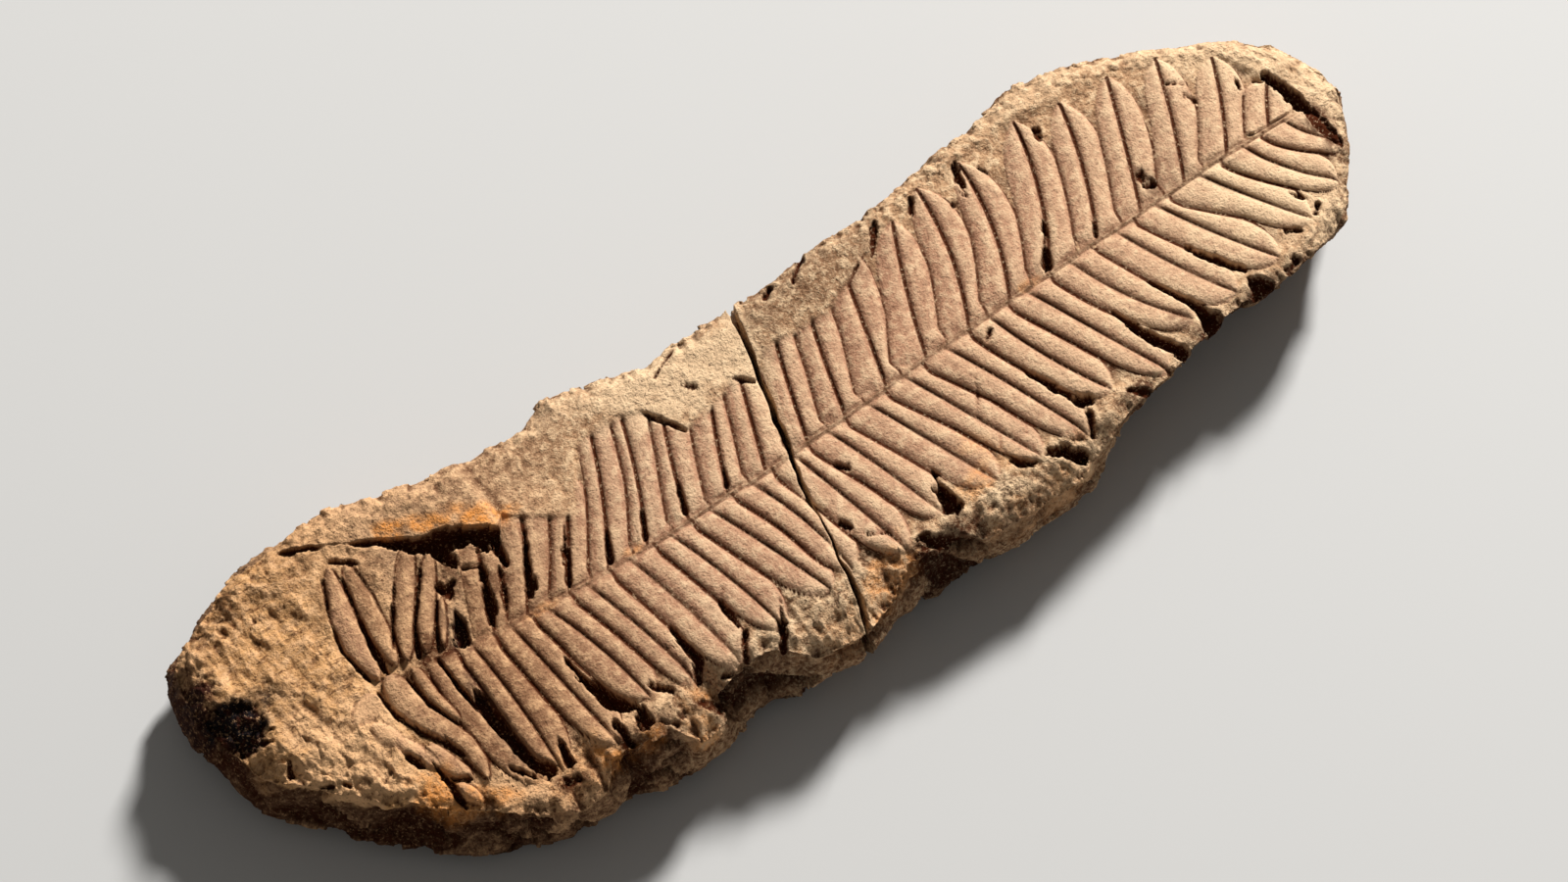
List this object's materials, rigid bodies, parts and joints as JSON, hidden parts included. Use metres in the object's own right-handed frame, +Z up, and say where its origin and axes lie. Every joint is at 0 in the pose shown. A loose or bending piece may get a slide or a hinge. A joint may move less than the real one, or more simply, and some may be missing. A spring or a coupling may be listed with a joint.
{
  "type": "fossil fern plate",
  "caption": "Long stone slab lying flat, broken across into blocks that fit together, with a feather-shaped fossil fern frond standing in low relief on its top face.",
  "frame": {"origin": "under the middle of the slab, on the surface that it lies on", "axes": "+X along the frond to its tip, +Y across the slab to its smoother side, +Z up through the face with the frond"},
  "size_m": [0.3058, 0.0986, 0.0311],
  "materials": {
    "butt_sandstone": "rough sandstone, tan to pinkish brown, with rust stains and dark broken sides",
    "tip_sandstone": "rough sandstone, tan to pinkish brown, with a paler worn rim"
  },
  "bodies": {
    "root": {"butt_block": "butt_sandstone", "tip_block": "tip_sandstone"}
  },
  "joints": []
}
